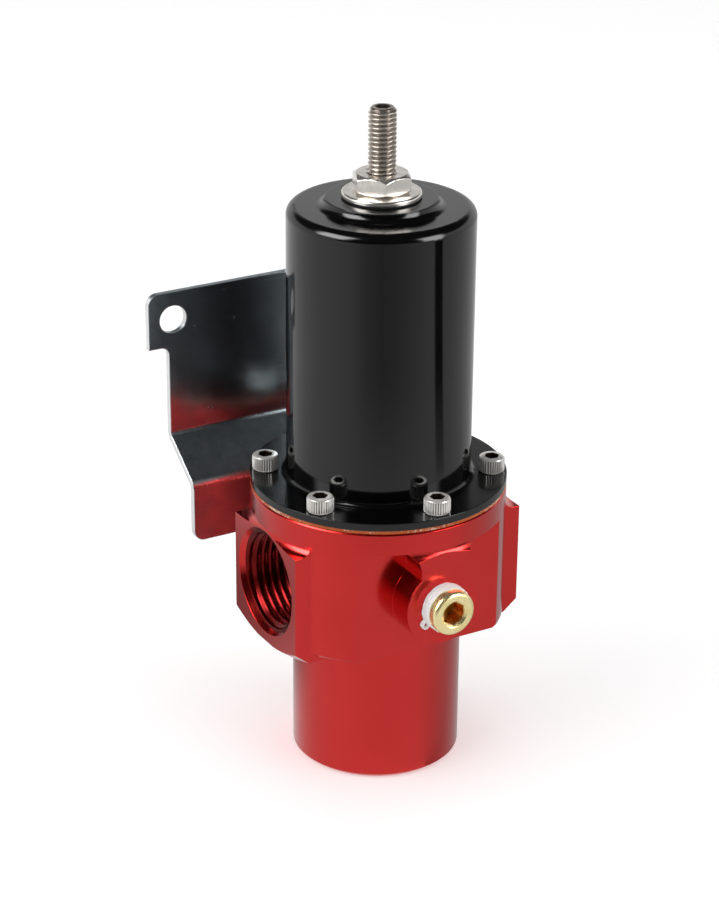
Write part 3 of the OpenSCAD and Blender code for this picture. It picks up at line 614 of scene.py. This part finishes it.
# a sway is an amount, a rate and, in the last one, where it starts
tagLook = {"degrees": 212, "start": 0.1, "reach": 1.6, "bow": 0.8, "half": 0.8, "sideSway": (0.2, 7),
           "low": 0.05, "lowSway": (0.1, 5), "width": 0.9, "highSway": (0.3, 9, 1), "wall": 0.2, "steps": 24}
padTurn = Matrix.Rotation(math.radians(90), 4, "X")


def makePlug(look):
    radius, stand, soft, sides = look["radius"], look["stand"], look["shoulder"], look["sides"]
    socket = hexRadius(look["hexAcross"])
    steps = [(radius - look["tipInset"], -look["inside"]),
             (radius - look["threadInset"], look["tipLength"] - look["inside"]),
             (radius - look["seatInset"], 0.0), (radius, stand - soft)]
    for i in range(1, look["shoulderSteps"] + 1):
        a = math.radians(90 * i / look["shoulderSteps"])
        steps.append((radius - soft + soft * math.cos(a), stand - soft + soft * math.sin(a)))
    wider, lower = look["mouthEase"]
    deep = stand - look["hexDepth"]
    steps += [(look["mouth"] + wider, stand), (look["mouth"], stand - lower),
              (socket, stand - look["mouthDepth"]), (socket, deep),
              (look["floorRadius"], deep - look["floorDrop"])]
    rings = [ringOf(sides, r, h) for r, h in steps]
    matrix = Matrix.Translation(Vector(look["place"]) * mm) @ padTurn
    piece = addPiece("socketPlug", [loftRings(rings)], goldPlug, "regulator", matrix, 26)
    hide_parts("gauge_plug")


# sealing tape wound over the plug's thread, with a ruffled edge
def tapeBand(look):
    rings = []
    inner, size = look["inner"], look["ruffleSize"]
    for step in range(look["sides"]):
        angle = 2 * math.pi * step / look["sides"]
        spot = Vector((math.cos(angle) * size, math.sin(angle) * size, look["seed"]))
        lift = look["width"] * (look["widthShare"] + look["ruffle"] * noise.noise(spot))
        bulge = look["thick"] * (1.0 + look["bulge"] * noise.noise(spot * look["bulgeScale"]))
        lean = look["lean"] * noise.noise(spot * look["leanScale"])
        profile = [(inner, look["gap"]), (inner + bulge + look["foot"], look["gap"])]
        for row in range(1, look["rows"] + 1):
            part = row / look["rows"]
            wall = bulge * (look["thickFoot"] - look["thickLoss"] * part)
            ridge = look["ridge"] * threadShape(lift * part / look["pitch"] - angle / (2 * math.pi))
            base = look["flare"] * max(0.0, 1 - part * look["flareShare"]) ** 2
            profile.append((inner + wall + ridge + base + lean * part * part, lift * part))
        profile.append((inner + look["topGap"], lift * look["topRise"]))
        rings.append([(r * math.cos(angle), r * math.sin(angle), h) for r, h in profile])
    rings.append(rings[0])
    return loftRings(rings, False, False)


def sway(t, amount, rate, start=0):
    return amount * math.sin(rate * t + start)


# one torn loop at the tape's edge
def tapeTag(look, inner):
    rings = []
    a = math.radians(look["degrees"])
    outward = Vector((math.cos(a), math.sin(a), 0))
    along = Vector((-math.sin(a), math.cos(a), 0))
    for step in range(look["steps"] + 1):
        t = step / look["steps"]
        out = inner + look["start"] + look["reach"] * math.sin(math.pi * t) ** look["bow"]
        side = look["half"] * math.cos(math.pi * t) * (1 + sway(t, *look["sideSway"]))
        centre = outward * out + along * side
        wall = (along * math.sin(math.pi * t) + outward * math.cos(math.pi * t)) * look["wall"]
        low = look["low"] + sway(t, *look["lowSway"])
        high = look["width"] * (1 + sway(t, *look["highSway"]))
        rings.append([tuple(centre + wall * sign + Vector((0, 0, height)))
                      for sign, height in ((1, low), (-1, low), (-1, high), (1, high))])
    return loftRings(rings)


def makeTapeRing(look, tag):
    matrix = Matrix.Translation(Vector(look["place"]) * mm) @ padTurn
    parts = [tapeBand(look), tapeTag(tag, look["inner"])]
    piece = addPiece("squeezedTape", parts, sealingTape, "regulator", matrix, 60)
    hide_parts("thread_tape")


makePlug(plugLook)
makeTapeRing(tapeLook, tagLook)
print("plug and tape fitted")

springLook = {"radius": 9.6, "wire": 1.15, "bottom": 68.3, "length": 44.6, "coils": 8, "coilGap": 0.05,
              "sides": 14, "steps": 48, "footTurns": 2.5}


# coil spring with closed end turns, made as two pieces, the foot of the lower turns and the coils above it,
# neither attached to a body
def makeSpring(look):
    turns = look["coils"] + 2
    wire, bottom = look["wire"], look["bottom"]
    closed = 2 * wire + look["coilGap"]
    pitch = (look["length"] - 2 * wire - 2 * closed) / look["coils"]
    rings = []
    for step in range(turns * look["steps"] + 1):
        t = step / look["steps"]
        if t < 1:
            height = closed * t
        elif t < turns - 1:
            height = closed + pitch * (t - 1)
        else:
            height = closed + pitch * look["coils"] + closed * (t - turns + 1)
        angle = 2 * math.pi * t
        ring = []
        for side in range(look["sides"]):
            b = 2 * math.pi * side / look["sides"]
            r = look["radius"] + wire * math.cos(b)
            rise = bottom + wire + height + wire * math.sin(b)
            ring.append((r * math.cos(angle), r * math.sin(angle), rise))
        rings.append(ring)
    cut = int(look["footTurns"] * look["steps"])
    lowCoils, highCoils = [loftRings(rings[:cut + 1])], [loftRings(rings[cut:])]
    foot = addPiece("coilSpringFoot", lowCoils, springSteel, None, sharpDegrees=50)
    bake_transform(foot)
    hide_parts("spring")
    upper = addPiece("coilSpring", highCoils, springSteel, None, sharpDegrees=50)
    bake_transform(upper)
    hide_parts("spring")


makeSpring(springLook)
print("spring wound")

diaphragmLook = {
    "outer": 28.495, "clamp": 17.5, "clampGap": 0.05, "plate": 14.1, "overlap": 0.1, "hole": 2.7,
    "middleRings": (6.0, 10.0), "low": 65.8, "thick": 0.7, "drill": 2.0, "screws": capScrewLook["count"],
    "circle": capScrewLook["circle"], "firstDegrees": capScrewLook["firstDegrees"],
    "rays": 120, "sectors": 12, "sectorSteps": 6, "bendSteps": 12}


# clamped rim of the diaphragm: one sector round each screw hole, drawn out from the hole to its edge
def clampedRim(look):
    half = math.pi / look["screws"]
    circle, outer, inner = look["circle"], look["outer"], look["clamp"]
    corners = [math.atan2(r * math.sin(half), r * math.cos(half) - circle) for r in (outer, inner)]
    turns = {2 * math.pi * i / look["rays"] - math.pi for i in range(look["rays"])}
    turns = sorted(turns | {side * corner for corner in corners for side in (1, -1)})

    def reach(a):
        ahead = circle * math.cos(a)
        found = [(math.sqrt(ahead ** 2 + outer ** 2 - circle ** 2) - ahead, "outer")]
        inside = ahead ** 2 + inner ** 2 - circle ** 2
        if inside > 0 and ahead < 0:
            found.append((-ahead - math.sqrt(inside), "inner"))
        for side in (half, -half):
            slope = math.sin(a - side)
            if slope * side > 0:
                found.append((circle * math.sin(side) / slope, "side"))
        return min(found)
    parts = []
    drill, thick = look["drill"], look["thick"]
    for number in range(look["screws"]):
        around = math.radians(look["firstDegrees"]) + 2 * half * number
        ahead, aside = math.cos(around), math.sin(around)
        points, faces = [], []
        for a in turns:
            edge = reach(a)[0]
            for distance, height in ((drill, 0), (edge, 0), (edge, thick), (drill, thick)):
                x, y = circle + distance * math.cos(a), distance * math.sin(a)
                points.append((x * ahead - y * aside, x * aside + y * ahead, look["low"] + height))
        for i, a in enumerate(turns):
            after = (i + 1) % len(turns)
            middle = a + (turns[after] - a) % (2 * math.pi) / 2
            for corner in range(4):
                if corner != 1 or reach(middle)[1] != "side":
                    k = (corner + 1) % 4
                    faces.append((4 * i + corner, 4 * after + corner, 4 * after + k, 4 * i + k))
        parts.append((points, faces))
    return parts


# one sector of the free cloth between the clamped rim and the plates
def clothSector(look, middle, half):
    free, bends = look["plate"] - look["overlap"], look["bendSteps"]
    radii = [look["hole"], *look["middleRings"]]
    radii += [free + (look["clamp"] - free) * i / bends for i in range(bends + 1)]
    count = len(radii)
    outline = [(r, look["low"]) for r in radii]
    outline += [(r, look["low"] + look["thick"]) for r in reversed(radii)]
    rings = []
    for step in range(look["sectorSteps"] + 1):
        a = middle + half * (2 * step / look["sectorSteps"] - 1)
        rings.append([(r * math.cos(a), r * math.sin(a), height) for r, height in outline])
    points, faces = loftRings(rings, False, False)
    for start in (0, look["sectorSteps"] * 2 * count):
        last = start + 2 * count - 1
        faces += [(start + i, start + i + 1, last - 1 - i, last - i) for i in range(count - 1)]
    return points, faces


# the rim is attached to the regulator, and the free cloth is made as separate sectors attached to no body
def makeDiaphragm(look):
    rim = addPiece("clampedDiaphragm", clampedRim(look), diaphragmCloth, "regulator")
    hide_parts("diaphragm")
    half = math.pi / look["sectors"]
    for number in range(look["sectors"]):
        middle = 2 * half * number
        parts = [clothSector(look, middle, half)]
        sector = addPiece("freeDiaphragm" + str(number + 1), parts, diaphragmCloth, None)
        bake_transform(sector)
        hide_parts("diaphragm")


makeDiaphragm(diaphragmLook)
print("diaphragm laid")

floorLook = {"size": 4.0, "drop": 0.0002, "albedo": 0.86, "patch": 40, "patchShade": 0.985, "glow": 0.43}
oneFace = [(0, 1, 2, 3)]


def rectangle(halfX, halfY):
    return [(-halfX, -halfY, 0), (halfX, -halfY, 0), (halfX, halfY, 0), (-halfX, halfY, 0)]


# white paper that still takes the object's shadow
def makeFloor(look):
    mesh = bpy.data.meshes.new("paleFloor")
    mesh.from_pydata(rectangle(look["size"] / 2, look["size"] / 2), [], oneFace)
    floor = bpy.data.objects.new("paleFloor", mesh)
    floor.location.z = -look["drop"]
    scene.collection.objects.link(floor)
    material = bpy.data.materials.new("palePaper")
    material.use_nodes = True
    tree = material.node_tree
    tree.nodes.clear()
    rays = addNode(tree, "ShaderNodeLightPath").outputs
    seen = mathOut(tree, "MAXIMUM", rays["Is Camera Ray"], rays["Is Glossy Ray"])
    seen = mathOut(tree, "MAXIMUM", seen, rays["Is Transmission Ray"])
    place = addNode(tree, "ShaderNodeTexCoord").outputs["Object"]
    patch = noiseOut(tree, place, look["patch"])
    paper = mixOut(tree, patch, grey(look["albedo"]), grey(look["albedo"] * look["patchShade"]))
    diffuse = addNode(tree, "ShaderNodeBsdfDiffuse", {"Color": paper})
    glow = addNode(tree, "ShaderNodeEmission", {"Strength": mathOut(tree, "MULTIPLY", seen, look["glow"])})
    total = addNode(tree, "ShaderNodeAddShader", {0: diffuse.outputs[0], 1: glow.outputs[0]})
    output = tree.nodes.new("ShaderNodeOutputMaterial")
    tree.links.new(total.outputs[0], output.inputs[0])
    mesh.materials.append(material)


makeFloor(floorLook)

worldLook = {"ambient": 0.4, "sweepDegrees": (21.5, 24.5), "room": 0.03}


# the camera sees white; the metal sees a white sweep with a dark room above it
def makeWorld(look):
    world = bpy.data.worlds.new("whiteStudio")
    scene.world = world
    world.use_nodes = True
    tree = world.node_tree
    tree.nodes.clear()
    rays = addNode(tree, "ShaderNodeLightPath").outputs
    seen = mathOut(tree, "MAXIMUM", rays["Is Camera Ray"], rays["Is Transmission Ray"])
    plain = rangeOut(tree, seen, 0.0, 1.0, look["ambient"], 1.0)
    heading = addNode(tree, "ShaderNodeTexCoord").outputs["Generated"]
    upward = addNode(tree, "ShaderNodeSeparateXYZ", {0: heading}).outputs[2]
    low, high = (math.sin(math.radians(d)) for d in look["sweepDegrees"])
    sweep = rangeOut(tree, upward, low, high, 1.0, look["room"])
    levels = {0: rays["Is Glossy Ray"], 2: plain, 3: sweep}
    strength = addNode(tree, "ShaderNodeMix", levels, data_type="FLOAT").outputs[0]
    back = addNode(tree, "ShaderNodeBackground", {"Strength": strength})
    output = tree.nodes.new("ShaderNodeOutputWorld")
    tree.links.new(back.outputs[0], output.inputs[0])


makeWorld(worldLook)

# table as the metal sees it: pale paper near the object, dimmer towards the camera, with one dark gap on the
# right; near and far are pairs of a share of the turn and the brightness there
tableLook = {
    "outer": 2.4, "sides": 96, "height": 0.0006, "centre": (0.003, -0.02, 0.0), "farFrom": (0.15, 0.25),
    "near": ((0.0, 0.8), (0.05, 0.76), (0.15, 0.73), (0.3, 0.72), (0.355, 0.66), (0.417, 0.56),
             (0.5, 0.42), (0.6, 0.42), (0.756, 0.6), (0.867, 0.69), (0.94, 0.78), (1.0, 0.8)),
    "far": ((0.0, 0.84), (0.06, 0.72), (0.11, 0.45), (0.16, 0.32), (0.2, 0.34), (0.26, 0.48),
            (0.335, 0.66), (0.35, 0.66), (0.41, 0.58), (0.6, 0.64), (0.67, 0.9), (1.0, 0.84)),
    "gap": ((0.1193, -0.1325), (0.1438, -0.1027), (0.3416, -0.343), (0.2692, -0.4033)),
    "gapHeight": 0.0009, "gapShade": (0.42, 0.03), "gapFade": (0.16, 0.25),
    "shade": (-0.035, 0.09, 0.0), "shadeReach": (0.02, 0.075), "shadeLow": 0.25}


def hideFromOthers(thing):
    thing.visible_camera = False
    thing.visible_diffuse = False
    thing.visible_shadow = False
    thing.visible_transmission = False


def angleRamp(tree, around, stopList):
    ramp = addNode(tree, "ShaderNodeValToRGB", {0: around})
    stops = ramp.color_ramp.elements
    while len(stops) < len(stopList):
        stops.new(0.5)
    for stop, (at, value) in zip(stops, stopList):
        stop.position = at
    for stop, (at, value) in zip(stops, stopList):  # after the places, which can sort the stops anew
        stop.color = grey(value)
    return ramp.outputs[0]


# a sheet that only shows in the metal; its colour is made by a given function
def addCard(name, points, faces, colourOf, matrix=None):
    mesh = bpy.data.meshes.new(name)
    mesh.from_pydata(points, [], faces)
    card = bpy.data.objects.new(name, mesh)
    if matrix:
        card.matrix_world = matrix
    scene.collection.objects.link(card)
    material = bpy.data.materials.new(name)
    material.use_nodes = True
    tree = material.node_tree
    tree.nodes.clear()
    place = addNode(tree, "ShaderNodeTexCoord").outputs["Object"]
    light = addNode(tree, "ShaderNodeEmission", {"Color": colourOf(tree, place)})
    output = tree.nodes.new("ShaderNodeOutputMaterial")
    tree.links.new(light.outputs[0], output.inputs[0])
    mesh.materials.append(material)
    hideFromOthers(card)


def makeTable(look):
    def tableColour(tree, place):
        shifted = vectorOut(tree, "SUBTRACT", place, look["centre"])
        gradient = addNode(tree, "ShaderNodeTexGradient", {"Vector": shifted}, gradient_type="RADIAL")
        around = gradient.outputs[1]
        far = rangeOut(tree, vectorOut(tree, "LENGTH", place), *look["farFrom"])
        tone = mixOut(tree, far, angleRamp(tree, around, look["near"]), angleRamp(tree, around, look["far"]))
        reach = vectorOut(tree, "DISTANCE", place, look["shade"])
        lit = rangeOut(tree, reach, *look["shadeReach"], look["shadeLow"], smooth=True)
        return mixOut(tree, lit, grey(0.0), tone)

    def gapColour(tree, place):
        radius = vectorOut(tree, "LENGTH", place)
        return greyOut(tree, rangeOut(tree, radius, *look["gapFade"], *look["gapShade"]))
    rim = ringOf(look["sides"], look["outer"], look["height"])
    addCard("studioTable", rim, [tuple(range(look["sides"]))], tableColour)
    addCard("tableGap", [(x, y, look["gapHeight"]) for x, y in look["gap"]], oneFace, gapColour)


makeTable(tableLook)

# dark cloth on the camera's side, seen only in the metal
darkClothLook = {"radius": 2.4, "low": 0.0, "high": 2.6, "fromDegrees": -175, "toDegrees": -45, "steps": 40,
                 "shade": 0.02}


def makeDarkCloth(look):
    radius, steps = look["radius"], look["steps"]
    points, faces = [], []
    for i in range(steps + 1):
        a = math.radians(look["fromDegrees"] + (look["toDegrees"] - look["fromDegrees"]) * i / steps)
        x, y = radius * math.cos(a), radius * math.sin(a)
        points += [(x, y, look["low"]), (x, y, look["high"])]
    for i in range(steps):
        faces.append((2 * i, 2 * i + 2, 2 * i + 3, 2 * i + 1))
    addCard("darkCloth", points, faces, lambda tree, place: grey(look["shade"]))


makeDarkCloth(darkClothLook)

# angles are round and above the object; shine is how bright the box's face is in the metal
lampLook = {
    "leftBox": {"aroundDegrees": 176, "aboveDegrees": 36, "size": (1.3, 1.34), "power": 9.0, "shine": 9.0},
    "rightBox": {"aroundDegrees": -56, "aboveDegrees": 18, "size": (1.0, 1.4), "power": 7.0, "shine": 7.0},
    "topBox": {"aroundDegrees": 45, "aboveDegrees": 84, "size": (1.2, 1.2), "power": 6.0, "shine": 0.0}}
lampAway = 1.5  # metres from the point that the lamps face
lampAim = Vector((0, 0, 0.07))
faceFade = (1.0, 0.5)  # shares of the half side where a face is dark and where it is full


def makeLamp(name, look):
    light = bpy.data.lights.new(name, "AREA")
    light.shape = "RECTANGLE"
    light.size, light.size_y = look["size"]
    light.energy = look["power"]
    lamp = bpy.data.objects.new(name, light)
    around, above = math.radians(look["aroundDegrees"]), math.radians(look["aboveDegrees"])
    level = math.cos(above)
    outward = Vector((level * math.cos(around), level * math.sin(around), math.sin(above)))
    matrix = (-outward).to_track_quat("-Z", "Y").to_matrix().to_4x4()
    matrix.translation = outward * lampAway + lampAim
    lamp.matrix_world = matrix
    lamp.visible_glossy = False
    scene.collection.objects.link(lamp)
    wide, tall = look["size"][0] / 2, look["size"][1] / 2

    def faceColour(tree, place):
        split = addNode(tree, "ShaderNodeSeparateXYZ", {0: place}).outputs
        fades = []
        for side, half in ((split[0], wide), (split[1], tall)):
            part = mathOut(tree, "DIVIDE", mathOut(tree, "ABSOLUTE", side), half)
            fades.append(rangeOut(tree, part, *faceFade, smooth=True))
        return greyOut(tree, mathOut(tree, "MULTIPLY", mathOut(tree, "MULTIPLY", *fades), look["shine"]))
    if look["shine"] > 0:
        addCard(name + "Face", rectangle(wide, tall), oneFace, faceColour, matrix)


for lampName, lamp in lampLook.items():
    makeLamp(lampName, lamp)
print("studio set")
